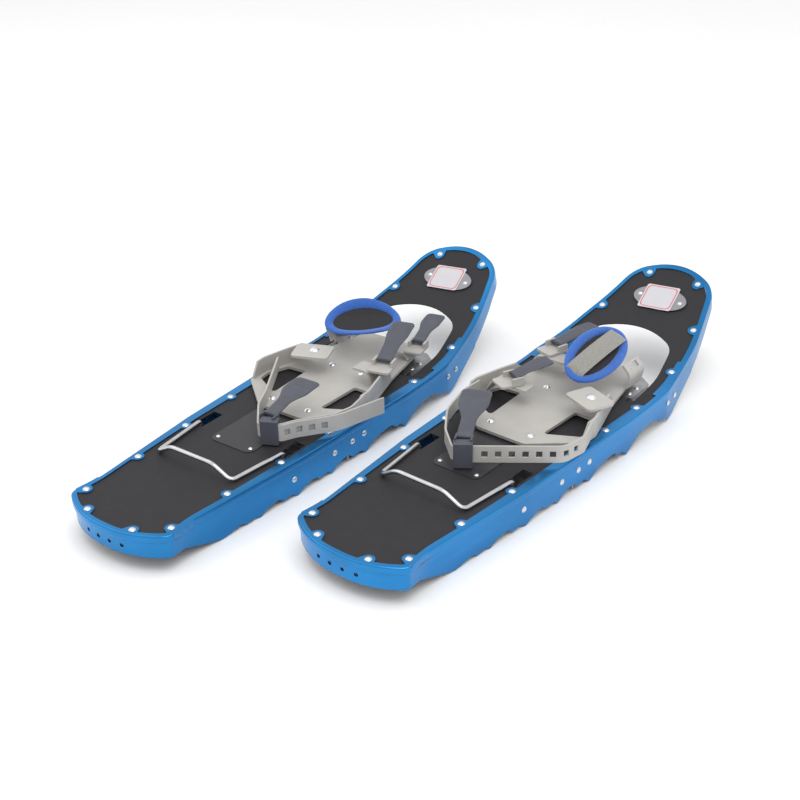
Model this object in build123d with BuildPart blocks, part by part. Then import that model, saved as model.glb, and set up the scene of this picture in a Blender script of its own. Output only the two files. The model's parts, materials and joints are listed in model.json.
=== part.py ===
from build123d import *
import os
from math import asin, atan2, cos, degrees, radians, sin, sqrt

os.makedirs("parts", exist_ok=True)

# A pair of mountain snowshoes, 30 inch class. Each shoe is built in its own frame: +X to its
# right, +Y to the toe, z = 0 on the flat top of the frame flange. It is then placed in the pair.

# Driving dimensions, mm and degrees
FLANGE_HEIGHT = 51.0  # flange top above the ground, standing on the teeth
BEND_START = 179.0  # y where the toe starts to rise
BEND_RADIUS = 470.0
RAIL_WIDTH = 7.0
RAIL_DEPTH = 10.0
BLADE_INSET = 2.5
BLADE_THICKNESS = 2.0
BLADE_INNER = BLADE_INSET + BLADE_THICKNESS
FLANGE_THICKNESS = 1.6
DECK_THICKNESS = 1.6
DECK_BOTTOM = FLANGE_THICKNESS + DECK_THICKNESS
DECK_EDGE = RAIL_WIDTH + 0.3
RIVET_SHANK = 1.6
RIVET_HOLE = RIVET_SHANK + 0.05
SEAT = 0.03  # gap that keeps a flat rivet head clear of the curved toe
RIVET_HEAD = 4.3
WALL = 2.0  # steel sheet of the cross-members
AXLE_Y = 190.0
AXLE_Z = -10.0
AXLE_RADIUS = 4.0
RUNNING_CLEARANCE = 0.06
BRACKET_INNER = 10.3  # inset of the pivot brackets' inner face
BRACKET_GRIP = BRACKET_INNER - BLADE_INSET + 0.9
UNDER_RAIL = RAIL_DEPTH + 0.2
BAIL_Y = -79.0
BAIL_Z = -26.0
BAIL_WIRE = 2.8
BASE_BOTTOM = 1.0
BASE_TOP = 5.0
STRAP = 2.4  # strap thickness
STRAP_LOW = 6.0  # lower edge of the heel strap
STRAP_HIGH = 28.0

# Outline corners of the right half, tail to toe: x, y, fillet radius
OUTLINE = [
    (42, -304.5, 110),
    (81, -277, 14),
    (77.5, -240, 150),
    (94, -70, 150),
    (103.8, 140, 600),
    (104, 235, 60),
    (88, 335, 300),
    (63, 428, 42),
    (0, 455, 100),
]
# Deck rivets of the right half: x, y, then the way to the rim that the rivet's tab reaches
DECK_RIVETS = [
    (36.5, -290.2, 0, -1),
    (69.5, -263, 1, 0),
    (73.5, -177, 1, 0),
    (80, -89, 1, 0),
    (84.5, 0, 1, 0),
    (91.5, 97, 1, 0),
    (92, 171, 1, 0),
    (87, 271, 1, 0.1),
    (72, 356, 1, 0.25),
    (38, 426.5, 0.5, 0.85),
]
HEEL_RIVETS = [(-5, -24), (29, -23), (52, -22)]  # blade rivets of the two heel cross-members: y, z
PIVOT_RIVETS = [(241, -20), (266, -20)]
TAIL_HOLES = [-27, -9, 9, 27]  # x of the holes for a clip-on tail
TAIL_HOLE_RADIUS = 2.6
TAIL_HOLE_Z = -19.0
TAIL_ARC_CENTRE = (6.1, -194.5)  # the tail wall beyond this x is an arc about this point
# Pairs of teeth along the blade: valley and tip of the small tooth, then of the large one
TEETH = [
    (-166, -45.0, -159, -49.5, -144, -47.0, -137, -51.0),
    (-106, -41.4, -97.5, -47.3, -84, -45, -75, -51.0),
    (-42, -41.2, -35, -46.3, -20, -44.3, -12, -50.5),
    (19.5, -39, 29.3, -45.5, 44, -43.6, 54, -51.0),
    (109, -36, 117.5, -42.5, 128, -42, 137, -50.5),
    (206, -31, 219, -38.5, 234, -40, 244.5, -48.0),
]


def outline(inset=0.0):
    left = [(-x, y, r) for x, y, r in reversed(OUTLINE[:-1])]
    corners = OUTLINE + left
    with BuildSketch() as plan:
        with BuildLine():
            FilletPolyline([(x, y) for x, y, r in corners], radius=[r for x, y, r in corners], close=True)
        make_face()
        if inset:
            offset(amount=-inset)
    return plan.sketch


def rim_x(y, inset=0.0):
    """Half-width of the outline at y, along its straight runs."""
    for (x0, y0, r0), (x1, y1, r1) in zip(OUTLINE, OUTLINE[1:]):
        if y0 <= y <= y1:
            slope = (x1 - x0) / (y1 - y0)
            return x0 + slope * (y - y0) - inset * sqrt(1 + slope * slope), slope


def rise(y):
    """Height and slope angle of the flange top at y."""
    if y <= BEND_START:
        return 0.0, 0.0
    along = y - BEND_START
    drop = sqrt(BEND_RADIUS**2 - along**2)
    return BEND_RADIUS - drop, degrees(atan2(along, drop))


def toe_point(y, depth):
    """A point at a depth under the flange, square to it, as y and z."""
    height, angle = rise(y)
    return y + depth * sin(radians(angle)), height - depth * cos(radians(angle))


def ring(outer_inset, inner_inset, y_from=-400, y_to=600):
    with BuildSketch() as plan:
        add(outline(outer_inset))
        add(outline(inner_inset), mode=Mode.SUBTRACT)
        with Locations((0, (y_from + y_to) / 2)):
            Rectangle(400, y_to - y_from, mode=Mode.INTERSECT)
    return plan.sketch


def curved_faces(plan):
    """The plan area laid on the rising top of the toe."""
    with BuildPart() as column:
        with BuildSketch(Plane.XY.offset(-60)):
            add(plan)
            with Locations((0, BEND_START + 200)):
                Rectangle(400, 400, mode=Mode.INTERSECT)
        extrude(amount=260)
        with BuildSketch(Plane.YZ.offset(-200)):
            with BuildLine():
                arc = CenterArc((BEND_START, BEND_RADIUS), BEND_RADIUS, -90, 42)
                Polyline(arc @ 1, (arc @ 1) + Vector(1, -200), (BEND_START, -100), arc @ 0)
            make_face()
        extrude(amount=400, mode=Mode.INTERSECT)
    return [face for face in column.faces() if face.normal_at().Z > 0.5]


def follow_deck(plan, depth):
    """Thicken a plan area downwards, square to the flange, along the flat and up the toe."""
    with BuildPart() as sheet:
        with BuildSketch():
            add(plan)
            with Locations((0, BEND_START - 300)):
                Rectangle(400, 600, mode=Mode.INTERSECT)
        extrude(amount=-depth)
        if plan.bounding_box().max.Y > BEND_START:
            for face in curved_faces(plan):
                thicken(to_thicken=face, amount=-depth)
    return sheet.part


def layer(top, bottom):
    """Everything between two depths under the flange, to cut sheets with."""
    with BuildPart() as slab:
        with BuildSketch(Plane.YZ.offset(-200)):
            with BuildLine():
                upper = CenterArc((BEND_START, BEND_RADIUS), BEND_RADIUS + top, -90, 42)
                lower = CenterArc((BEND_START, BEND_RADIUS), BEND_RADIUS + bottom, -90, 42)
                Polyline(upper @ 0, (-400, -top), (-400, -bottom), lower @ 0)
                Line(lower @ 1, upper @ 1)
            make_face()
        extrude(amount=400)
    return slab.part


def rivet(grip, head=RIVET_HEAD):
    """A domed rivet: head on z = 0, shank down through grip, and its set end."""
    height = head * 0.5
    radius = (head**2 + height**2) / (2 * height)
    rim_angle = degrees(atan2(radius - height, head))
    with BuildPart() as stud:
        with BuildSketch(Plane.XZ):
            with BuildLine():
                dome = CenterArc((0, height - radius), radius, rim_angle, 90 - rim_angle)
                Polyline(dome @ 1, (0, -grip - 1.2), (RIVET_SHANK + 1, -grip - 1.2),
                         (RIVET_SHANK + 1, -grip), (RIVET_SHANK, -grip), (RIVET_SHANK, 0), dome @ 0)
            make_face()
        revolve(axis=Axis.Z)
    return stud.part


def deck_rivet_planes():
    for x, y, out_x, out_y in DECK_RIVETS:
        height, angle = rise(y)
        normal = (0, -sin(radians(angle)), cos(radians(angle)))
        for side in (-1, 1):
            yield Plane(origin=(side * x, y, height), x_dir=(1, 0, 0), z_dir=normal)


def blade_planes(places, inset=BLADE_INSET):
    for y, z in places:
        height, angle = rise(y)
        x, slope = rim_x(y - (height - z) * sin(radians(angle)) / cos(radians(angle)), inset)
        for side in (-1, 1):
            yield Plane(origin=(side * x, y, z), x_dir=(0, 0, 1), z_dir=(side, -slope, 0))


def toe_opening():
    half = [(79.5, 181, 8), (76.5, 250, 150), (61, 318, 36), (0, 350, 90)]
    corners = half + [(-x, y, r) for x, y, r in reversed(half[:-1])]
    with BuildSketch() as plan:
        with BuildLine():
            FilletPolyline([(x, y) for x, y, r in corners], radius=[r for x, y, r in corners], close=True)
        make_face()
    return plan.sketch


def blade_profile():
    """Side view of the blade: toothed below, following the flange above."""
    top = RAIL_DEPTH - 1
    with BuildSketch(Plane.YZ.offset(-200)) as side_view:
        with BuildLine():
            arc = CenterArc((BEND_START, BEND_RADIUS), BEND_RADIUS + top, -90, 40)
            Polyline(arc @ 0, (-330, -top), (-330, -29), (-255, -31), (-222, -43),
                     (-195, -50.5), TEETH[0][:2])
            for index, (y0, z0, y1, z1, y2, z2, y3, z3) in enumerate(TEETH):
                Polyline((y0, z0), (y1, z1), (y2, z2), (y3, z3))
                if index + 1 < len(TEETH):
                    y4, z4 = TEETH[index + 1][:2]
                    Spline((y3, z3), (y3 + 0.55 * (y4 - y3), z4 - 2.0), (y4, z4))
            toe = [toe_point(y, depth) for y, depth in ((318, 37), (322, 34), (375, 29), (415, 25))]
            Polyline((TEETH[-1][6], TEETH[-1][7]), (262, -44), *toe, toe_point(470, 22), arc @ 1)
        make_face()
    return side_view.sketch


def tail_hole_places():
    """Square to the tail wall, which is flat in the middle and then an arc."""
    radius = TAIL_ARC_CENTRE[1] - OUTLINE[0][1] - BLADE_INSET
    for x in TAIL_HOLES:
        side = 1 if x > 0 else -1
        angle = side * asin((abs(x) - TAIL_ARC_CENTRE[0]) / radius)
        yield Location((x, TAIL_ARC_CENTRE[1] - radius * cos(angle), TAIL_HOLE_Z), (90, degrees(angle), 0))


def make_frame():
    tabs = []
    for x, y, out_x, out_y in DECK_RIVETS:
        for side in (-1, 1):
            tabs.append((side * x, y, degrees(atan2(out_y, side * out_x))))
    with BuildSketch() as flange_plan:
        with BuildLine():
            Polyline((73.5, -186), (81, -70), (83, 0), (88.5, 150), (89, 180), (130, 180), (130, -186),
                     close=True)
        make_face()
        with BuildLine():
            Polyline((91.5, 213), (90, 245), (83, 295), (130, 295), (130, 213), close=True)
        make_face()
        mirror(about=Plane.YZ)
        for x, y, angle in tabs:
            with Locations(Location((x, y, 0), (0, 0, angle))):
                Circle(7.6)
                Polygon((-2, 7.3), (-2, -7.3), (16, -15), (16, 15), align=None)
        add(outline(5), mode=Mode.INTERSECT)
    with BuildPart() as frame:
        add(follow_deck(ring(0, RAIL_WIDTH), RAIL_DEPTH))
        add(follow_deck(flange_plan.sketch, FLANGE_THICKNESS))
        with BuildPart(mode=Mode.PRIVATE) as blade:
            add(follow_deck(ring(BLADE_INSET, BLADE_INNER), 60))
            extrude(blade_profile(), amount=400, mode=Mode.INTERSECT)
        add(blade.part)
        for place in deck_rivet_planes():
            with Locations(place.location):
                Cylinder(RIVET_HOLE, 12, mode=Mode.SUBTRACT)
        for place in blade_planes(HEEL_RIVETS + PIVOT_RIVETS + [(BAIL_Y, BAIL_Z)]):
            with Locations(place.location):
                Cylinder(RIVET_HOLE, 12, mode=Mode.SUBTRACT)
        for place in tail_hole_places():
            with Locations(place):
                Cylinder(TAIL_HOLE_RADIUS, 20, mode=Mode.SUBTRACT)
    return frame.part


def make_deck():
    with BuildSketch() as plan:
        add(outline(DECK_EDGE))
        add(toe_opening(), mode=Mode.SUBTRACT)
        with Locations((-69, -59), (69, -59)):
            Rectangle(15, 38, mode=Mode.SUBTRACT)
    with BuildPart() as deck:
        add(follow_deck(plan.sketch, DECK_BOTTOM))
        add(layer(FLANGE_THICKNESS, DECK_BOTTOM), mode=Mode.INTERSECT)
        for place in deck_rivet_planes():
            with Locations(place.location):
                Cylinder(RIVET_HOLE, 20, mode=Mode.SUBTRACT)
        with Locations((-27, -85, 0), (27, -85, 0)):
            Cylinder(RIVET_HOLE, 20, mode=Mode.SUBTRACT)
        for x in (-31, 31):
            with Locations(badge_plane().location):
                with Locations((x, 0, 0)):
                    Cylinder(RIVET_HOLE, 20, mode=Mode.SUBTRACT)
    return deck.part


BADGE_Y = 391.0


def badge_plane():
    y, z = toe_point(BADGE_Y, FLANGE_THICKNESS)
    angle = radians(rise(BADGE_Y)[1])
    return Plane(origin=(0, y, z), x_dir=(1, 0, 0), z_dir=(0, -sin(angle), cos(angle)))


BADGE_LIFT = 1.9  # the flat plate bridges the hollow of the curved deck


def make_badge():
    with BuildPart() as badge:
        with BuildSketch(badge_plane().offset(BADGE_LIFT)):
            Ellipse(40, 21)
            with Locations((-31, 0), (31, 0)):
                Circle(RIVET_HOLE, mode=Mode.SUBTRACT)
        extrude(amount=0.8)
    return badge.part


def make_small_rivets():
    """The pop rivets of the badge and of the heel wear plate."""
    with BuildPart() as rivets:
        with Locations((-27, -85, -FLANGE_THICKNESS + 0.9), (27, -85, -FLANGE_THICKNESS + 0.9)):
            add(rivet(0.9 + DECK_THICKNESS, 2.9))
        with Locations(badge_plane().offset(BADGE_LIFT + 0.8).location):
            with Locations((-31, 0, 0), (31, 0, 0)):
                add(rivet(BADGE_LIFT + 0.8 + DECK_THICKNESS + 0.4, 3.4))
    return rivets.part


def make_label():
    with BuildPart() as label:
        with BuildSketch(badge_plane().offset(BADGE_LIFT + 0.85)):
            with Locations(Location((-2, 1, 0), (0, 0, 6))):
                Rectangle(49, 44)
        extrude(amount=0.4)
        chamfer(label.edges().filter_by(lambda edge: edge.length < 0.5), length=2)
    return label.part


def make_deck_rivets():
    with BuildPart() as rivets:
        for place in deck_rivet_planes():
            with Locations(place.offset(SEAT).location):
                add(rivet(DECK_BOTTOM + 2 * SEAT))
    return rivets.part


def make_blade_rivets():
    with BuildPart() as rivets:
        for places, grip in ((HEEL_RIVETS, BLADE_THICKNESS + WALL), (PIVOT_RIVETS, BRACKET_GRIP),
                             ([(BAIL_Y, BAIL_Z)], BLADE_THICKNESS + 2.8)):
            for place in blade_planes(places):
                with Locations(place.offset(2 * SEAT).location):
                    add(rivet(grip + 4 * SEAT, 4.0))
    return rivets.part


def make_tail_splice():
    with BuildPart() as splice:
        with BuildSketch(Plane.XY.offset(-12)):
            add(ring(BLADE_INNER, BLADE_INNER + 1.5, -310, -285))
            Rectangle(76, 700, mode=Mode.INTERSECT)
        extrude(amount=-14)
        for place in tail_hole_places():
            with Locations(place):
                Cylinder(TAIL_HOLE_RADIUS, 20, mode=Mode.SUBTRACT)
    return splice.part


def make_heel_wear_plate():
    with BuildPart() as plate:
        with BuildSketch(Plane.XY.offset(-FLANGE_THICKNESS)):
            with Locations((0, -2)):
                RectangleRounded(68, 186, 10)
            with Locations((-27, -85), (27, -85)):
                Circle(RIVET_HOLE, mode=Mode.SUBTRACT)
        extrude(amount=0.9)
    return plate.part


def make_heel_crossmembers():
    """A pressed channel across the blades with teeth on both webs, and a plain bar behind it."""
    y_back, y_front = 20.0, 61.0
    with BuildPart() as channel:
        with BuildSketch(Plane.XY.offset(-UNDER_RAIL)):
            add(outline(BLADE_INNER))
            with Locations((0, (y_back + y_front) / 2)):
                Rectangle(400, y_front - y_back, mode=Mode.INTERSECT)
        extrude(amount=-WALL)
        with BuildSketch(Plane.XY.offset(-UNDER_RAIL)):
            add(ring(BLADE_INNER, BLADE_INNER + WALL, y_back, y_front))
        extrude(amount=-24)
        with BuildSketch(Plane.XY.offset(-UNDER_RAIL)):
            with Locations((0, y_back + WALL / 2), (0, y_front - WALL / 2)):
                Rectangle(400, WALL)
            add(outline(BLADE_INNER), mode=Mode.INTERSECT)
        extrude(amount=-37)
        with BuildSketch(Plane.XZ.offset(-100)):
            for x in (-66, -33, 0, 33, 66):
                with Locations((x, -48)):
                    Polygon((-18, 0), (18, 0), (9, 15), (-9, 15), align=None)
        extrude(amount=200, mode=Mode.SUBTRACT)
        with BuildSketch(Plane.XY.offset(-UNDER_RAIL)):
            add(outline(BLADE_INNER))
            with Locations((0, -5)):
                Rectangle(400, 16, mode=Mode.INTERSECT)
        extrude(amount=-WALL)
        with BuildSketch(Plane.XY.offset(-UNDER_RAIL)):
            add(ring(BLADE_INNER, BLADE_INNER + WALL, -13, 3))
        extrude(amount=-22)
        for place in blade_planes(HEEL_RIVETS):
            with Locations(place.location):
                Cylinder(RIVET_HOLE, 14, mode=Mode.SUBTRACT)
    return channel.part


def make_pivot_brackets():
    """Steel cheeks inside the blades that carry the ends of the binding axle."""
    with BuildPart() as cheeks:
        with BuildSketch(Plane.XY.offset(-4)):
            add(ring(RAIL_WIDTH + 0.3, BRACKET_INNER, 178, 276))
        extrude(amount=-27)
        with BuildSketch(Plane.XY.offset(-UNDER_RAIL)):
            add(ring(BLADE_INNER, BRACKET_INNER, 178, 232))
        extrude(amount=-20)
        with BuildSketch(Plane.XY.offset(-UNDER_RAIL)):
            add(ring(BLADE_INNER + 0.8, BRACKET_INNER, 232, 276))
        extrude(amount=-20)
        with BuildSketch(Plane.YZ.offset(-200)):
            with BuildLine():
                FilletPolyline((178, -4), (206, -4), (276, -12), (276, -31), (232, -31), (202, -20),
                               (178, -20), radius=3, close=True)
            make_face()
        extrude(amount=400, mode=Mode.INTERSECT)
        with Locations(Location((0, AXLE_Y, AXLE_Z), (0, 90, 0))):
            Cylinder(AXLE_RADIUS, 400, mode=Mode.SUBTRACT)
        for place in blade_planes(PIVOT_RIVETS):
            with Locations(place.location):
                Cylinder(RIVET_HOLE, 20, mode=Mode.SUBTRACT)
    return cheeks.part


def make_axle():
    half = rim_x(AXLE_Y, RAIL_WIDTH)[0] - 0.5
    with BuildPart() as axle:
        with Locations(Location((0, AXLE_Y, AXLE_Z), (0, 90, 0))):
            Cylinder(AXLE_RADIUS, 2 * half)
        chamfer(axle.edges(), length=0.5)
    return axle.part


def make_bushings():
    """Black rollers that centre the crampon hinge on the axle."""
    with BuildPart() as bushings:
        for side in (-1, 1):
            with Locations(Location((side * 62, AXLE_Y, AXLE_Z), (0, 90, 0))):
                Cylinder(7.8, 14)
                Cylinder(AXLE_RADIUS, 20, mode=Mode.SUBTRACT)
            with Locations(Location((side * 78, AXLE_Y, AXLE_Z), (0, 90, 0))):
                Cylinder(5.5, 16)
                Cylinder(AXLE_RADIUS, 20, mode=Mode.SUBTRACT)
    return bushings.part


def make_crampon():
    """Steel toe crampon: hinge barrels on the axle, a flat plate and down-turned toothed edges."""
    plate_top = AXLE_Z + 1.0
    with BuildPart() as crampon:
        with BuildSketch(Plane.XY.offset(plate_top)):
            with BuildLine():
                FilletPolyline((-50, 195), (50, 195), (66, 205), (66, 252), (48, 266), (-48, 266),
                               (-66, 252), (-66, 205), radius=4, close=True)
            make_face()
            for x, y in ((-58, 214), (58, 214), (-58, 233), (58, 233)):
                with Locations((x, y)):
                    Circle(RIVET_HOLE, mode=Mode.SUBTRACT)
        extrude(amount=-2.5)
        for side in (-1, 1):
            with BuildSketch(Plane.YZ.offset(side * 64.5)):
                with BuildLine():
                    Polyline((207, AXLE_Z), (250, AXLE_Z), (250, -20), (243, -47), (231, -24),
                             (222, -43), (212, -22), (207, -22), close=True)
                make_face()
            extrude(amount=1.5, both=True)
        with BuildSketch(Plane.XZ.offset(-264.5)):
            with BuildLine():
                Polyline((-46, AXLE_Z), (46, AXLE_Z), (46, -24), (38, -46), (26, -22), (10, -22),
                         (0, -44), (-10, -22), (-26, -22), (-38, -46), (-46, -24), close=True)
            make_face()
        extrude(amount=1.4, both=True)
        for side in (-1, 1):
            with Locations(Location((side * 42, AXLE_Y, AXLE_Z), (0, 90, 0))):
                Cylinder(6.6, 24)
            with Locations((side * 42, AXLE_Y + 4.5, AXLE_Z - 0.25)):
                Box(24, 9, 2.5)
        with Locations(Location((0, AXLE_Y, AXLE_Z), (0, 90, 0))):
            Cylinder(AXLE_RADIUS + RUNNING_CLEARANCE, 200, mode=Mode.SUBTRACT)
    return crampon.part


def make_binding_base():
    """Moulded cradle: foot plate, two ears round open corners, and rising side wings."""
    half = [(35, 0, 9), (90, 46, 12), (91, 74, 25), (80, 112, 60), (68, 152, 40), (60, 192, 60), (48, 254, 14)]
    corners = half + [(-x, y, r) for x, y, r in reversed(half)]
    with BuildPart() as base:
        with BuildSketch(Plane.XY.offset(BASE_BOTTOM)):
            with BuildLine():
                FilletPolyline([(x, y) for x, y, r in corners], radius=[r for x, y, r in corners], close=True)
            make_face()
            with BuildLine():
                FilletPolyline((39, 34), (80, 56), (83, 74), (72, 104), (42, 106), radius=4, close=True)
            make_face(mode=Mode.SUBTRACT)
            with BuildLine():
                FilletPolyline((-39, 34), (-80, 56), (-83, 74), (-72, 104), (-42, 106), radius=4, close=True)
            make_face(mode=Mode.SUBTRACT)
            for x, y in BASE_SCREWS:
                with Locations((x, y)):
                    Circle(RIVET_HOLE, mode=Mode.SUBTRACT)
        extrude(amount=BASE_TOP - BASE_BOTTOM)
        with BuildSketch(Plane.XY.offset(AXLE_Z + 1)):
            with Locations((0, 229)):
                RectangleRounded(76, 50, 6)
        extrude(amount=BASE_BOTTOM - AXLE_Z)
        for side in (-1, 1):
            with BuildSketch(Plane.XY.offset(BASE_BOTTOM)):
                with BuildLine():
                    FilletPolyline((side * 87.4, 49), (side * 88.6, 74), (side * 78, 112), (side * 66, 152),
                                   radius=[30, 60])
                trace(line_width=3)
            extrude(amount=27)
        with BuildSketch(Plane.YZ.offset(-200)):
            with BuildLine():
                Polyline((-10, 5), (47, 5), (60, 26.5), (112, 28), (136, 28), (154, 9), (300, 9),
                         (300, 60), (-10, 60), close=True)
            make_face()
        extrude(amount=400, mode=Mode.SUBTRACT)
    return base.part


BASE_SCREWS = [(-30, 22), (30, 22), (-25, 142), (25, 142)]


def make_base_screws():
    with BuildPart() as screws:
        with Locations(*[(x, y, BASE_TOP) for x, y in BASE_SCREWS]):
            add(rivet(BASE_TOP - BASE_BOTTOM, 5.4))
    return screws.part


# Heel straps by shoe: plan routes from the wing to the loop and from the loop to the other wing.
# On the left shoe the holed strap doubles back through the loop and ends in a plain free tail.
HEEL = {
    "right": {
        "holed": [(91, 62), (102.5, 26), (97, -8), (40, -52), (4, -79.4)],
        "holed_radii": [18, 22, 60],
        "holes_from_end": 24,
        "holes": 8,
        "hole_pitch": 16,
        "anchor": [(2, -81), (-7, -87.5), (-40, -58), (-68, -18), (-83, 34), (-82.5, 70)],
        "anchor_radii": [7, 40, 60, 60],
        "loop": (3, -80.2),
        "loop_angle": 37.3,
        "tongue": ((-3, -69.4, 33.5), (-46, 16, 45)),
    },
    "left": {
        "holed": [(91, 62), (97, 28), (91, 2), (61, -37.5), (53, -54.6), (41, -61.1)],
        "holed_radii": [18, 22, 30, 9],
        "holes_from_end": 88,
        "holes": 4,
        "hole_pitch": 16,
        "doubled": [(42.3, -63.9), (55.2, -57.2), (63.6, -40.2), (96, 2), (116, 70)],
        "doubled_radii": [10, 30, 60],
        "anchor": [(39, -62), (26, -68), (-8, -28), (-24, 4), (-74, 86)],
        "anchor_radii": [8, 40, 60],
        "loop": (40, -61.5),
        "loop_angle": 25,
        "tongue": ((33.5, -50.6, 33.5), (30, 28, 45)),
    },
}
TONGUE_FOOT = 16.0
TONGUE_TIP = 34.0


def strap_band(points, radii, low, high, thickness=STRAP):
    """An upright band along a plan route."""
    with BuildPart() as band:
        with BuildSketch(Plane.XY.offset(low)):
            with BuildLine():
                FilletPolyline(points, radius=radii)
            trace(line_width=thickness)
        extrude(amount=high - low)
    return band.part


def make_heel_strap(side_name):
    heel = HEEL[side_name]
    outer = "doubled" if "doubled" in heel else "holed"
    with BuildLine() as route:
        FilletPolyline(heel[outer], radius=heel[outer + "_radii"])
    wire = route.wires()[0]
    with BuildPart() as strap:
        add(strap_band(heel[outer], heel[outer + "_radii"], STRAP_LOW, STRAP_HIGH))
        for index in range(heel["holes"]):
            along = wire.length - heel["holes_from_end"] - heel["hole_pitch"] * index
            spot = wire.position_at(along, PositionMode.LENGTH)
            way = wire.tangent_at(along, PositionMode.LENGTH)
            with Locations(Location((spot.X, spot.Y, 17), (0, 0, degrees(atan2(way.Y, way.X))))):
                Box(7.5, 14, 8.5, mode=Mode.SUBTRACT)
        if "doubled" in heel:
            add(strap_band(heel["holed"], heel["holed_radii"], STRAP_LOW, STRAP_HIGH))
            (x0, y0), (x1, y1) = heel["holed"][-1], heel["doubled"][0]
            middle = Location(((x0 + x1) / 2, (y0 + y1) / 2, (STRAP_LOW + STRAP_HIGH) / 2),
                              (0, 0, heel["loop_angle"]))
            with Locations(middle):
                Box(STRAP, STRAP + 3.2, STRAP_HIGH - STRAP_LOW)
    return strap.part


def make_anchor_strap(side_name):
    heel = HEEL[side_name]
    with BuildPart() as strap:
        add(strap_band(heel["anchor"], heel["anchor_radii"], STRAP_LOW + 2, STRAP_HIGH - 2))
    return strap.part


def make_heel_loop(side_name):
    """Moulded loop that both heel straps run into, with lugs and a pin for the tongue."""
    heel = HEEL[side_name]
    x, y = heel["loop"]
    foot, tip = heel["tongue"]
    hinge = tab_plane(foot, tip)[0].x_dir
    flat = Plane(origin=foot, x_dir=hinge, z_dir=(0, 0, 1))
    with BuildPart() as loop:
        with Locations(Location((x, y, 17), (0, 0, heel["loop_angle"]))):
            Box(23, 13.4, 32)
        fillet(loop.edges().filter_by(Axis.Z), radius=2)
        for side in (-1, 1):
            with Locations(flat * Location((side * (TONGUE_FOOT / 2 + 1.6), -3.6, -2.4))):
                Box(2.2, 13, 9)
        with Locations(flat * Location((0, 0, 0), (0, 90, 0))):
            Cylinder(1.14, TONGUE_FOOT + 4)
        with Locations(Location((x, y, 17), (0, 0, heel["loop_angle"]))):
            Box(50, 9.2, 24, mode=Mode.SUBTRACT)
    return loop.part


def tab_plane(foot, tip):
    """Plane of a lever: origin on its hinge, local y to its tip, local x along the hinge."""
    run = Vector(tip) - Vector(foot)
    hinge = Vector(run.Y, -run.X, 0).normalized()
    return Plane(origin=foot, x_dir=hinge, z_dir=hinge.cross(run.normalized())), run.length


def make_tab(foot, tip, foot_width, tip_width, thickness=3.6):
    """A ribbed pull tab with a round hinge barrel at its foot."""
    plane, length = tab_plane(foot, tip)
    with BuildPart() as tab:
        with BuildSketch(plane.offset(-thickness / 2)):
            with BuildLine():
                FilletPolyline((-foot_width / 2, 0), (foot_width / 2, 0), (foot_width / 2, length * 0.35),
                               (tip_width / 2, length * 0.62), (tip_width / 2, length),
                               (-tip_width / 2, length), (-tip_width / 2, length * 0.62),
                               (-foot_width / 2, length * 0.35),
                               radius=[0, 0, 12, 12, 5, 5, 12, 12], close=True)
            make_face()
        extrude(amount=thickness)
        with BuildSketch(plane.offset(thickness / 2)):
            for index in range(3):
                with Locations((0, length - 5 - 6 * index)):
                    SlotOverall(tip_width - 6, 2.4)
        extrude(amount=1.0)
        with Locations((plane * Location((0, 0, 0), (0, 90, 0)))):
            Cylinder(thickness / 2 + 0.8, foot_width)
            Cylinder(1.2, foot_width + 4, mode=Mode.SUBTRACT)
    return tab.part


def make_buckle(foot, tip, foot_width, length=34):
    """Buckle body under a pull tab: floor, two cheeks and the hinge pin between them."""
    plane, reach = tab_plane(foot, tip)
    flat = Plane(origin=foot, x_dir=plane.x_dir, z_dir=(0, 0, 1))
    cheek = foot_width / 2 + 0.5
    with BuildPart() as body:
        with BuildSketch(flat.offset(-9)):
            with Locations((0, -8)):
                RectangleRounded(foot_width + 8, length, 4)
        extrude(amount=3)
        for side in (-1, 1):
            with Locations(flat * Location((side * (cheek + 1.5), -1, -3))):
                Box(3, 16, 9)
        with Locations(flat * Location((0, 0, 0), (0, 90, 0))):
            Cylinder(1.14, foot_width + 4)
    return body.part


# Forefoot pieces, which lie differently on the two shoes. Tabs: foot, tip, foot width, tip width.
# Bands: profile in X and Z, fillet radius, then y from and to.
FOREFOOT = {
    "right": {
        "rear": ((-40, 86, 39.4), (-17, 133, 50), 20, 24),
        "front": ((-46, 196, 41.4), (-28, 262, 48), 20, 26),
        "bands": [
            ([(-77, 9), (-66, 28.3), (-14, 28.3)], 10, 74, 96),
            ([(-64, 8), (-62, 30.6), (-16, 30.6)], 10, 166, 190),
            ([(62, 7), (66, 26), (54, 38)], 13, 196, 232),
        ],
        "side_plate": (62, 104, -22),
        "pad": (21, 184, 49, 0),
        "webbing_offset": 3.4,
    },
    "left": {
        "rear": ((68, 138, 39.4), (49, 212, 60), 22, 30),
        "front": ((57, 232, 26), (42, 300, 36), 18, 27),
        "bands": [
            ([(64, 8), (60, 28.3), (34, 28.3)], 10, 112, 136),
            ([(56, 7), (52, 14.6), (32, 14.6)], 4, 206, 230),
            ([(-62, 7), (-66, 26), (-54, 38)], 13, 196, 232),
        ],
        "side_plate": (-38, 117, 22),
        "pad": (-14, 200, 50, -35),
        "webbing_offset": -6.2,
    },
}


def make_forefoot_tab(side_name, which):
    return make_tab(*FOREFOOT[side_name][which])


def make_forefoot_buckles(side_name):
    with BuildPart() as buckles:
        for which in ("rear", "front"):
            foot, tip, foot_width, tip_width = FOREFOOT[side_name][which]
            add(make_buckle(foot, tip, foot_width))
    return buckles.part


def arch_band(profile, radius, y_from, y_to, thickness=STRAP):
    """A band that climbs from the wing over the foot, with its profile in X and Z."""
    with BuildPart() as band:
        with BuildSketch(Plane.XZ.offset(-y_to)):
            with BuildLine():
                FilletPolyline(profile, radius=[radius])
            trace(line_width=thickness)
        extrude(amount=y_to - y_from)
    return band.part


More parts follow.
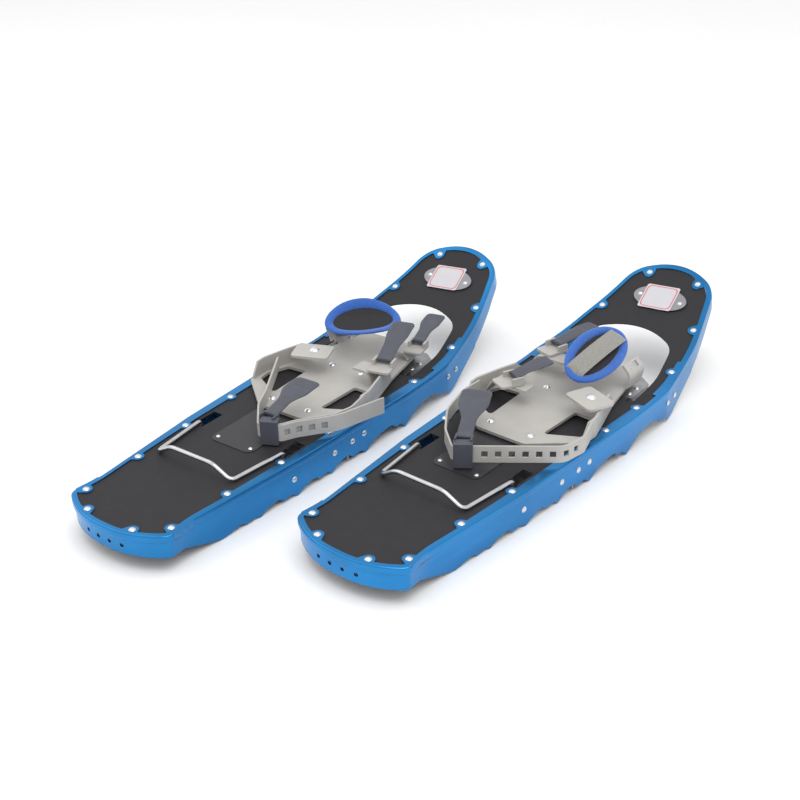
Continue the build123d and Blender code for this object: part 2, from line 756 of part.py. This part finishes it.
def make_forefoot_straps(side_name, hand):
    """Two bands under the buckles, and the slotted toe frame on the other side."""
    rear, front, toe_frame = FOREFOOT[side_name]["bands"]
    with BuildPart() as straps:
        add(arch_band(*rear))
        add(arch_band(*front))
        add(arch_band(*toe_frame, thickness=3.0))
        with Locations(Location((hand * 59, 214, 33), (0, hand * 45, 0))):
            Box(8, 20, 12, mode=Mode.SUBTRACT)
    return straps.part


def make_side_plate(side_name):
    """Strap plate on the wing opposite the buckles, with a hole for its big rivet."""
    x, y, turn = FOREFOOT[side_name]["side_plate"]
    with BuildPart() as plate:
        with BuildSketch(Plane.XY.offset(29)):
            with Locations(Location((x, y, 0), (0, 0, turn))):
                RectangleRounded(52, 40, 6)
            with Locations((x, y + 4)):
                Circle(RIVET_HOLE, mode=Mode.SUBTRACT)
        extrude(amount=3.5)
    return plate.part


def make_binding_rivets(side_name):
    """The big domed rivet of the side plate and the four rivets of the crampon."""
    plate_x, plate_y, turn = FOREFOOT[side_name]["side_plate"]
    with BuildPart() as rivets:
        with Locations(*[(x, y, AXLE_Z + 1) for x in (-58, 58) for y in (214, 233)]):
            add(rivet(2.5, 3.6))
        with Locations((plate_x, plate_y + 4, 32.5)):
            add(rivet(3.5, 7.0))
    return rivets.part


PAD_PITCH = 11.0
PAD_ROLL = 24.0


def pad_plane(side_name):
    x, y, z, yaw = FOREFOOT[side_name]["pad"]
    return Plane(Location((x, y, z), (PAD_PITCH, PAD_ROLL, yaw)))


def make_instep_pad(side_name):
    with BuildPart() as pad:
        with BuildSketch(pad_plane(side_name).offset(-4)):
            SlotOverall(106, 56, rotation=90)
        extrude(amount=7)
        fillet(pad.edges(), radius=2.5)
    return pad.part


def make_instep_webbing(side_name):
    with BuildPart() as webbing:
        with BuildSketch(pad_plane(side_name).offset(FOREFOOT[side_name]["webbing_offset"])):
            RectangleRounded(25, 108, 2)
        extrude(amount=1.8)
    return webbing.part


def make_heel_lift_bail():
    """Bent steel wire that lies on the deck and flips up under the heel."""
    corners = [(82, BAIL_Y, BAIL_Z), (70, BAIL_Y, BAIL_Z), (70, -68, 1.5), (60.5, -156, 1.5), (34, -158, 17)]
    points = corners + [(-x, y, z) for x, y, z in reversed(corners)]
    radii = [6, 7, 9, 26]
    with BuildPart() as bail:
        with BuildLine() as wire:
            FilletPolyline(points, radius=radii + radii[::-1])
        with BuildSketch(Plane(origin=points[0], z_dir=(-1, 0, 0))):
            Circle(BAIL_WIRE)
        sweep(path=wire.line)
    return bail.part


def make_bail_brackets():
    """Bearing plates for the ends of the bail, riveted inside the blades."""
    with BuildPart() as brackets:
        with BuildSketch(Plane.XY.offset(-14)):
            add(ring(BLADE_INNER, BLADE_INNER + 2.5, BAIL_Y - 13, BAIL_Y + 13))
        extrude(amount=-24)
        for place in blade_planes([(BAIL_Y, BAIL_Z)]):
            with Locations(place.location):
                Cylinder(RIVET_HOLE, 20, mode=Mode.SUBTRACT)
        for side in (-1, 1):
            x = rim_x(BAIL_Y, BLADE_INNER + 2.5)[0]
            with Locations(Location((side * (x - 4.5), BAIL_Y, BAIL_Z), (0, 90, 0))):
                Cylinder(6, 8)
                Cylinder(BAIL_WIRE + RUNNING_CLEARANCE, 8, mode=Mode.SUBTRACT)
            with Locations(Location((side * (x - 1.0), BAIL_Y, BAIL_Z), (0, 90, 0))):
                Cylinder(3.5, 3, mode=Mode.SUBTRACT)
    return brackets.part


def make_chassis():
    """The pieces that are the same on both shoes."""
    return {
        "frame": make_frame(),
        "tail_splice": make_tail_splice(),
        "deck": make_deck(),
        "deck_rivets": make_deck_rivets(),
        "blade_rivets": make_blade_rivets(),
        "badge": make_badge(),
        "badge_label": make_label(),
        "small_rivets": make_small_rivets(),
        "heel_wear_plate": make_heel_wear_plate(),
        "heel_crossmembers": make_heel_crossmembers(),
        "pivot_brackets": make_pivot_brackets(),
        "binding_axle": make_axle(),
        "axle_bushings": make_bushings(),
        "bail_brackets": make_bail_brackets(),
        "heel_lift_bail": make_heel_lift_bail(),
        "toe_crampon": make_crampon(),
        "binding_base": make_binding_base(),
        "base_screws": make_base_screws(),
    }


def make_binding_fittings(side_name, hand):
    """The straps, buckles and tabs, which lie differently on the two shoes."""
    foot, tip = HEEL[side_name]["tongue"]
    return {
        "heel_strap": make_heel_strap(side_name),
        "heel_anchor_strap": make_anchor_strap(side_name),
        "heel_loop": make_heel_loop(side_name),
        "heel_tongue": make_tab(foot, tip, TONGUE_FOOT, TONGUE_TIP),
        "forefoot_straps": make_forefoot_straps(side_name, hand),
        "forefoot_buckles": make_forefoot_buckles(side_name),
        "rear_pull_tab": make_forefoot_tab(side_name, "rear"),
        "front_pull_tab": make_forefoot_tab(side_name, "front"),
        "side_plate": make_side_plate(side_name),
        "binding_rivets": make_binding_rivets(side_name),
        "instep_pad": make_instep_pad(side_name),
        "instep_webbing": make_instep_webbing(side_name),
    }


# Place of each shoe in the pair: x, y of its origin and its turn about Z
PLACES = {"left": (-131.25, -57.4, 1.92), "right": (131.25, 57.4, -1.93)}
HANDS = {"left": -1, "right": 1}

chassis = make_chassis()
places = {name: Location((x, y, FLANGE_HEIGHT), (0, 0, turn)) for name, (x, y, turn) in PLACES.items()}
pair_centre = Compound([place * chassis["frame"] for place in places.values()]).bounding_box().center()
centring = Location((-pair_centre.X, -pair_centre.Y, 0))
for side_name, place in places.items():
    fittings = make_binding_fittings(side_name, HANDS[side_name])
    for name, piece in (chassis | fittings).items():
        placed = centring * place * piece
        placed.label = side_name + "_" + name
        export_step(placed, "parts/" + placed.label + ".step")
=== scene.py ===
import json
import math

import bmesh
import bpy
from mathutils import Matrix, Vector


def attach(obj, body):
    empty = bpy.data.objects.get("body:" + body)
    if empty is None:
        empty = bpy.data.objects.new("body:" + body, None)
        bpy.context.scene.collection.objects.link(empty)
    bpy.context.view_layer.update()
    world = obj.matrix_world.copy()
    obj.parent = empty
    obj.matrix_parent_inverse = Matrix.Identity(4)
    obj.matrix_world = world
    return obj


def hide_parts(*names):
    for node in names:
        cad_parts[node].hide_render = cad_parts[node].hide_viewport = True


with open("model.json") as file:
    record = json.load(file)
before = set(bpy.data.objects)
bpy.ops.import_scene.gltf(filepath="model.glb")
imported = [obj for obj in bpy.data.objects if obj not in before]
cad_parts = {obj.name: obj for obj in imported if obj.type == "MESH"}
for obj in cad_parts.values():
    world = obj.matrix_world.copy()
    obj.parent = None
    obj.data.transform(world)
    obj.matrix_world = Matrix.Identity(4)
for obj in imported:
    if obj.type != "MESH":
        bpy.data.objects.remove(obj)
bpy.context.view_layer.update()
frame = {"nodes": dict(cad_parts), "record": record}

# Place of each shoe in the pair: origin in metres and turn about Z in degrees
CENTRE = (0.00002, 0.0756947)
PLACES = {
    "left": (-0.13125 - CENTRE[0], -0.0574 - CENTRE[1], 1.92),
    "right": (0.13125 - CENTRE[0], 0.0574 - CENTRE[1], -1.93),
}
FLANGE_HEIGHT = 0.051


def shoe_matrix(side):
    x, y, turn = PLACES[side]
    return Matrix.Translation((x, y, FLANGE_HEIGHT)) @ Matrix.Rotation(math.radians(turn), 4, "Z")


# ---------------------------------------------------------------- materials


def material(name, colour, dark=0.8, metallic=0.0, roughness=0.5, scale=60.0, bump=0.0, bump_scale=400.0,
             sheen=0.0, coat=0.0):
    """A Principled material whose colour varies a little with a noise, with an optional fine bump."""
    made = bpy.data.materials.new(name)
    made.use_nodes = True
    tree = made.node_tree
    shader = tree.nodes["Principled BSDF"]
    shader.inputs["Metallic"].default_value = metallic
    shader.inputs["Roughness"].default_value = roughness
    shader.inputs["Sheen Weight"].default_value = sheen
    shader.inputs["Coat Weight"].default_value = coat
    where = tree.nodes.new("ShaderNodeTexCoord")
    noise = tree.nodes.new("ShaderNodeTexNoise")
    noise.inputs["Scale"].default_value = scale
    noise.inputs["Detail"].default_value = 4.0
    ramp = tree.nodes.new("ShaderNodeValToRGB")
    ramp.color_ramp.elements[0].position = 0.35
    ramp.color_ramp.elements[0].color = (*[channel * dark for channel in colour], 1)
    ramp.color_ramp.elements[1].position = 0.65
    ramp.color_ramp.elements[1].color = (*colour, 1)
    tree.links.new(where.outputs["Object"], noise.inputs["Vector"])
    tree.links.new(noise.outputs["Fac"], ramp.inputs["Fac"])
    tree.links.new(ramp.outputs["Color"], shader.inputs["Base Color"])
    if bump:
        grain = tree.nodes.new("ShaderNodeTexNoise")
        grain.inputs["Scale"].default_value = bump_scale
        raise_it = tree.nodes.new("ShaderNodeBump")
        raise_it.inputs["Strength"].default_value = bump
        raise_it.inputs["Distance"].default_value = 0.0004
        tree.links.new(where.outputs["Object"], grain.inputs["Vector"])
        tree.links.new(grain.outputs["Fac"], raise_it.inputs["Height"])
        tree.links.new(raise_it.outputs["Normal"], shader.inputs["Normal"])
    return made


def anodised():
    """Blue anodised aluminium: a soft streaky drift of depth along the extrusion."""
    made = material("anodised_blue", (0.028, 0.235, 0.56), 0.72, 0.88, 0.27, 9)
    tree = made.node_tree
    streak = tree.nodes["Noise Texture"]
    stretch = tree.nodes.new("ShaderNodeMapping")
    stretch.inputs["Scale"].default_value = (1.0, 0.35, 2.2)
    source = tree.nodes["Texture Coordinate"].outputs["Object"]
    tree.links.new(source, stretch.inputs["Vector"])
    tree.links.new(stretch.outputs["Vector"], streak.inputs["Vector"])
    return made


LOOKS = {
    "anodised_blue": anodised(),
    "deck_sheet": material("deck_sheet", (0.0135, 0.0125, 0.0155), 0.8, 0.0, 0.72, 90, 0.25, 900),
    "rivet_silver": material("rivet_silver", (0.72, 0.73, 0.75), 0.9, 0.9, 0.28, 300),
    "badge_metal": material("badge_metal", (0.33, 0.33, 0.35), 0.85, 0.8, 0.42, 120),
    "label_vinyl": material("label_vinyl", (0.54, 0.53, 0.56), 0.97, 0.0, 0.5, 60),
    "black_plastic": material("black_plastic", (0.022, 0.021, 0.025), 0.85, 0.0, 0.45, 120, 0.1, 500),
    "steel": material("steel", (0.42, 0.42, 0.43), 0.8, 0.9, 0.38, 90),
    "bail_steel": material("bail_steel", (0.62, 0.62, 0.63), 0.9, 1.0, 0.2, 120),
    "aluminium": material("aluminium", (0.55, 0.56, 0.58), 0.9, 0.9, 0.35, 120),
    "cream_plastic": material("cream_plastic", (0.44, 0.425, 0.40), 0.93, 0.0, 0.48, 40, 0.08, 500),
    "grey_plastic": material("grey_plastic", (0.070, 0.074, 0.096), 0.88, 0.0, 0.5, 80, 0.1, 500),
    "pad_fabric": material("pad_fabric", (0.028, 0.13, 0.50), 0.75, 0.0, 0.85, 500, 0.6, 1500, 0.3),
    "webbing": material("webbing", (0.30, 0.29, 0.27), 0.7, 0.0, 0.85, 700, 0.6, 1500, 0.3),
}

slots = {part["node"]: part["material_slot"] for part in frame["record"]["subparts"]}
for node, thing in frame["nodes"].items():
    look = LOOKS["cream_plastic" if node.endswith("forefoot_buckles") else slots[node]]
    if thing.material_slots:
        for place in thing.material_slots:
            place.material = look
    else:
        thing.data.materials.append(look)


# ---------------------------------------------------------------- frame with a rounded rail

RAIL_DEPTH = 0.010
RAIL_ROUNDING = 0.0023
# The toe bends upwards from this y, round a level axis this far above the flange
BEND_START = 0.179
BEND_RADIUS = 0.470
# Distances in metres: how far corners may lie from the rail's planes, and when two are one
ON_PLANE = 0.0003
SAME_CORNER = 0.000002
# Middle of the shoe along its length
SHOE_MIDDLE = 0.07


def depth_under_flange(point):
    """Depth of a point of the shoe under the top of its flange, square to it."""
    if point.y <= BEND_START:
        return -point.z
    return math.hypot(point.y - BEND_START, BEND_RADIUS - point.z) - BEND_RADIUS


def rounded_frame(side):
    """The CAD frame with the outer edges of its rail rounded."""
    node = side + "_frame"
    source = frame["nodes"][node]
    to_shoe = shoe_matrix(side).inverted()
    body = bmesh.new()
    body.from_mesh(source.data)
    bmesh.ops.remove_doubles(body, verts=body.verts, dist=SAME_CORNER)
    rail_edges = []
    for edge in body.edges:
        if len(edge.link_faces) != 2 or edge.calc_face_angle(0) < 1.0:
            continue
        depths = [depth_under_flange(to_shoe @ corner.co) for corner in edge.verts]
        top = max(abs(depth) for depth in depths) < ON_PLANE
        bottom = max(abs(depth - RAIL_DEPTH) for depth in depths) < ON_PLANE
        if top or bottom:
            rail_edges.append(edge)
    outer = [edge for edge in rail_edges if is_outer(edge, to_shoe)]
    bmesh.ops.bevel(body, geom=outer, offset=RAIL_ROUNDING, segments=3, profile=0.5, affect="EDGES",
                    clamp_overlap=False)
    mesh = bpy.data.meshes.new(side + "_rounded_frame")
    body.to_mesh(mesh)
    body.free()
    made = bpy.data.objects.new(side + "_rounded_frame", mesh)
    bpy.context.collection.objects.link(made)
    mesh.materials.clear()
    mesh.materials.append(LOOKS["anodised_blue"])
    for face in mesh.polygons:
        face.use_smooth = True
    smooth = made.modifiers.new("normals", "WEIGHTED_NORMAL")
    smooth.keep_sharp = True
    mesh.set_sharp_from_angle(angle=math.radians(35))
    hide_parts(node)
    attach(made, side + "_shoe")


def is_outer(edge, to_shoe):
    """True for edges of the outside wall of the rail, which faces away from the shoe's middle."""
    middle = to_shoe @ ((edge.verts[0].co + edge.verts[1].co) / 2)
    away = Vector((middle.x, middle.y - SHOE_MIDDLE, 0)).normalized()
    for face in edge.link_faces:
        normal = to_shoe.to_3x3() @ face.normal
        outwards = Vector((normal.x, normal.y, 0)).dot(away) > 0.25
        if abs(normal.z) < 0.75 and outwards and rail_wall(face, to_shoe):
            return True
    return False


def rail_wall(face, to_shoe):
    """True for a face that spans the rail's depth and lies within it."""
    depths = [depth_under_flange(to_shoe @ corner.co) for corner in face.verts]
    return max(depths) < RAIL_DEPTH + 0.0004 and min(depths) > -0.0004 and max(depths) - min(depths) > 0.008


for side in PLACES:
    rounded_frame(side)


# ---------------------------------------------------------------- soft and moulded pieces

MM = 0.001
# Width in millimetres of the small bevel on the edges of each CAD piece
SOFTENED = {
    "binding_base": 1.1, "heel_strap": 0.7, "heel_anchor_strap": 0.7, "forefoot_straps": 0.7,
    "forefoot_buckles": 0.9, "side_plate": 1.1, "heel_loop": 1.0, "toe_crampon": 0.4,
    "heel_crossmembers": 0.4, "pivot_brackets": 0.5, "badge": 0.3, "axle_bushings": 0.6,
}
for side in PLACES:
    for piece, width in SOFTENED.items():
        thing = frame["nodes"][side + "_" + piece]
        soft = thing.modifiers.new("softened", "BEVEL")
        soft.width = width * MM
        soft.segments = 2
        soft.angle_limit = math.radians(45)
        soft.harden_normals = False
        normals = thing.modifiers.new("normals", "WEIGHTED_NORMAL")
        normals.keep_sharp = True


def grid_object(name, rows, look, side, body, node=None, closed=True):
    """A smooth object from rows of points in the shoe's frame, in millimetres.

    Each row is a closed loop. With closed="both" the last row also joins the first; otherwise the
    first and last rows are capped.
    """
    to_world = shoe_matrix(side)
    body_mesh = bmesh.new()
    rings = [[body_mesh.verts.new(to_world @ (Vector(point) * MM)) for point in row] for row in rows]
    count = len(rings)
    for index in range(count if closed == "both" else count - 1):
        first, second = rings[index], rings[(index + 1) % count]
        for step in range(len(first)):
            after = (step + 1) % len(first)
            body_mesh.faces.new((first[step], first[after], second[after], second[step]))
    if closed != "both":
        body_mesh.faces.new(list(reversed(rings[0])))
        body_mesh.faces.new(rings[-1])
    bmesh.ops.recalc_face_normals(body_mesh, faces=body_mesh.faces)
    mesh = bpy.data.meshes.new(name)
    body_mesh.to_mesh(mesh)
    body_mesh.free()
    made = bpy.data.objects.new(name, mesh)
    bpy.context.collection.objects.link(made)
    mesh.materials.append(LOOKS[look])
    mesh.polygons.foreach_set("use_smooth", [True] * len(mesh.polygons))
    mesh.set_sharp_from_angle(angle=math.radians(50))
    if node in slots:
        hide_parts(node)
    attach(made, body)
    return made


def smoothstep(low, high, value):
    part = min(1.0, max(0.0, (value - low) / (high - low)))
    return part * part * (3 - 2 * part)


def pull_tab(side, node, body, foot, tip, foot_width, tip_width, thickness, arch, ribs):
    """A moulded lever: round barrel at the foot, waisted neck, broad tip with curved ribs."""
    start, end = Vector(foot), Vector(tip)
    run = end - start
    length = run.length
    hinge = Vector((run.y, -run.x, 0)).normalized()
    along = run.normalized()
    up = hinge.cross(along)
    rows = []
    steps, half = 90, 14
    for index in range(steps + 1):
        t = index / steps
        s = -0.03 * length + t * 1.03 * length
        f = s / length
        width = foot_width + (tip_width - foot_width) * smoothstep(0.3, 0.68, f)
        end_round = min(1.0, (length - s) / 6.0)
        width *= 0.72 + 0.28 * math.sqrt(max(0.0, 1 - (1 - end_round) ** 2))
        barrel = 1.2 * math.exp(-((s / 4.0) ** 2))
        centre = start + along * s + up * (arch * 4 * f * (1 - f) if f > 0 else 0)
        row = []
        for turn in range(2 * half + 2):
            over = turn <= half
            v = -1 + 2 * (turn if over else 2 * half + 1 - turn) / half
            edge = (1 - abs(v) ** 5) ** 0.5 if abs(v) < 1 else 0.0
            rise = (thickness / 2 + barrel) * (0.25 + 0.75 * edge) * (0.55 if t in (0, 1) else 1)
            if over:
                for rib in range(ribs):
                    crest = length - 5.5 - 5.5 * rib - 3.0 * (v * v)
                    rise += 0.8 * edge * math.exp(-(((s - crest) / 1.1) ** 2))
            row.append(centre + hinge * (v * width / 2) + up * (rise if over else -rise))
        rows.append(row)
    grid_object(node + "_moulded", rows, "grey_plastic", side, body, node)


PAD_PITCH = 11.0
PAD_ROLL = 24.0
# Half width and half height of the pad's rim, and how far the mesh panel stops inside the edge
RIM_REACH = 6.2
RIM_HEIGHT = 3.4
PANEL_INSET = 9
# Instep pad of each shoe: x, y, z of its centre and its turn in its own plane
PADS = {"right": (21, 184, 49, 0), "left": (-14, 200, 50, -35)}


def pad_matrix(side):
    """From the pad's own plane to the shoe, in millimetres."""
    x, y, z, yaw = PADS[side]
    pitch = Matrix.Rotation(math.radians(PAD_PITCH), 4, "X")
    roll = Matrix.Rotation(math.radians(PAD_ROLL), 4, "Y")
    return Matrix.Translation((x, y, z)) @ pitch @ roll @ Matrix.Rotation(math.radians(yaw), 4, "Z")


def instep_pad(side, half_length, half_width, trough):
    """Padded oval: a thick rim of soft binding round a thin mesh panel, curved like a trough."""
    to_shoe = pad_matrix(side)

    def dished(x, y, z):
        return to_shoe @ Vector((x, y, z + trough * (x / half_width) ** 2))

    rim, panel = [], []
    for step in range(72):
        angle = 2 * math.pi * step / 72
        puff = 1 + 0.05 * math.sin(9 * angle + 0.6) + 0.04 * math.sin(23 * angle)
        row = []
        for turn in range(14):
            beta = 2 * math.pi * turn / 14
            reach = RIM_REACH * math.cos(beta)
            row.append(dished((half_width - RIM_REACH + reach) * math.cos(angle),
                              (half_length - RIM_REACH + reach) * math.sin(angle),
                              RIM_HEIGHT * puff * math.sin(beta)))
        rim.append(row)
    for ring in range(13):
        share = ring / 12
        row = []
        for step in range(48):
            angle = 2 * math.pi * step / 48
            swell = 1.6 * (1 - share**2) + 0.3 * math.cos(6 * share * math.pi)
            row.append(dished((half_width - PANEL_INSET) * max(share, 0.02) * math.cos(angle),
                              (half_length - PANEL_INSET) * max(share, 0.02) * math.sin(angle), swell))
        panel.append(row)
    grid_object(side + "_pad_rim", rim, "pad_fabric", side, side + "_binding", side + "_instep_pad",
                closed="both")
    mesh_panel = grid_object(side + "_pad_mesh", panel, "pad_mesh", side, side + "_binding",
                             side + "_instep_pad")


WEBBING_HALF_WIDTH = 12.2
WEBBING_HALF_THICKNESS = 0.8


def instep_webbing(side, half_length, low, arch, tilt):
    """The woven strap that runs lengthwise over the pad."""
    to_shoe = pad_matrix(side)
    rows = []
    for step in range(49):
        f = -1 + 2 * step / 48
        y = f * half_length
        lift = low + arch * (1 - f * f)
        row = []
        for turn in range(20):
            over = turn < 10
            v = -1 + 2 * (turn if over else 19 - turn) / 9
            bend = 0.5 * math.cos(v * 3.1)
            drop = 7.0 * smoothstep(0.82, 1.0, abs(f))
            face = WEBBING_HALF_THICKNESS if over else -WEBBING_HALF_THICKNESS
            row.append(to_shoe @ Vector((v * WEBBING_HALF_WIDTH + tilt * f, y, lift - drop + bend + face)))
        rows.append(row)
    grid_object(side + "_woven_strap", rows, "webbing", side, side + "_binding", side + "_instep_webbing")


LINE_HALF_WIDTH = 22.5
LINE_HALF_HEIGHT = 20.0
LOOKS["red_ink"] = material("red_ink", (0.62, 0.10, 0.09), 0.9, 0.0, 0.5, 200)


def label_border(side):
    """The red rounded line printed round the blank sticker."""
    label = frame["nodes"][side + "_badge_label"].data
    to_shoe = shoe_matrix(side).inverted()
    corners = [to_shoe @ corner.co for corner in label.vertices]
    middle = sum(corners, Vector()) / len(corners)
    slope = math.atan2(middle.y - BEND_START, BEND_RADIUS - middle.z)
    across = Matrix.Rotation(slope, 4, "X") @ Matrix.Rotation(math.radians(6), 4, "Z")
    plane = Matrix.Translation(middle * 1000) @ across
    rows = []
    for step in range(96):
        angle = 2 * math.pi * step / 96
        c, d = math.cos(angle), math.sin(angle)
        reach = (abs(c) ** 8 + abs(d) ** 8) ** (-1 / 8)
        x, y = LINE_HALF_WIDTH * c * reach, LINE_HALF_HEIGHT * d * reach
        row = []
        for dx, dz in ((1, 0.16), (1, 0.26), (0.94, 0.26), (0.94, 0.16)):
            row.append(plane @ Vector((x * dx, y * dx, dz)))
        rows.append(row)
    grid_object(side + "_sticker_line", rows, "red_ink", side, side + "_shoe",
                side + "_badge_label_line", closed="both")


LOOKS["pad_mesh"] = material("pad_mesh", (0.03, 0.03, 0.034), 0.6, 0.0, 0.9, 900, 0.8, 2500)
# Heel tongue of each shoe: its foot and its tip
TONGUES = {"right": ((-3, -69.4, 33.5), (-46, 16, 45)), "left": ((33.5, -50.6, 33.5), (30, 28, 45))}
# Forefoot tabs of each shoe: foot, tip, foot width, tip width
TABS = {
    "right": {
        "rear": ((-40, 86, 39.4), (-17, 133, 50), 20, 25),
        "front": ((-46, 196, 41.4), (-28, 262, 48), 20, 27),
    },
    "left": {
        "rear": ((68, 138, 39.4), (49, 212, 60), 22, 31),
        "front": ((57, 232, 26), (42, 300, 36), 18, 28),
    },
}
for side in PLACES:
    foot, tip = TONGUES[side]
    pull_tab(side, side + "_heel_tongue", side + "_tongue", foot, tip, 19, 38, 4.2, 3.0, 3)
    for which, (foot, tip, foot_width, tip_width) in TABS[side].items():
        pull_tab(side, f"{side}_{which}_pull_tab", f"{side}_{which}_tab", foot, tip, foot_width, tip_width,
                 4.0, 2.0, 3)
for side in PLACES:
    label_border(side)
instep_pad("right", 60, 33, 3)
instep_pad("left", 56, 32, 13)
instep_webbing("right", 56, 4.6, 5, 4)
instep_webbing("left", 50, -7.2, 0, -4)


# ---------------------------------------------------------------- stage, lights and camera

bpy.ops.mesh.primitive_plane_add(size=40, location=(0, 0, 0))
floor = bpy.context.active_object
floor.name = "studio_floor"
floor.data.materials.append(material("floor", (0.93, 0.93, 0.93), 0.99, 0.0, 0.9, 1.0))

world = bpy.data.worlds.new("studio")
world.use_nodes = True
world.node_tree.nodes["Background"].inputs["Color"].default_value = (1, 1, 1, 1)
world.node_tree.nodes["Background"].inputs["Strength"].default_value = 0.95
bpy.context.scene.world = world


def area_light(name, place, target, size, power):
    lamp = bpy.data.lights.new(name, "AREA")
    lamp.size = size
    lamp.energy = power
    holder = bpy.data.objects.new(name, lamp)
    bpy.context.collection.objects.link(holder)
    holder.location = place
    holder.rotation_euler = (Vector(target) - Vector(place)).to_track_quat("-Z", "Y").to_euler()
    return holder


area_light("key_light", (0.9, -0.5, 2.6), (0, 0, 0), 2.2, 34)
area_light("fill_light", (-2.0, -0.6, 2.2), (0, 0, 0), 2.5, 12)

lens = bpy.data.cameras.new("camera")
lens.sensor_width = 36.0
lens.lens = 53.4
lens.shift_x = 0.0292
lens.shift_y = 0.0191
camera = bpy.data.objects.new("camera", lens)
bpy.context.collection.objects.link(camera)
forward = Vector((-0.5523, 0.6764, -0.4873)).normalized()
across = forward.cross(Vector((0, 0, 1))).normalized()
upward = across.cross(forward)
ROLL = 0.02731
camera_x = (across * math.sqrt(1 - ROLL**2) - upward * ROLL).normalized()
camera_y = (upward * math.sqrt(1 - ROLL**2) + across * ROLL).normalized()
turned = Matrix((camera_x, camera_y, -forward)).transposed().to_4x4()
camera.matrix_world = Matrix.Translation((0.810 - CENTRE[0], -1.012 - CENTRE[1], 0.790)) @ turned
bpy.context.scene.camera = camera
bpy.context.scene.view_settings.view_transform = "Standard"
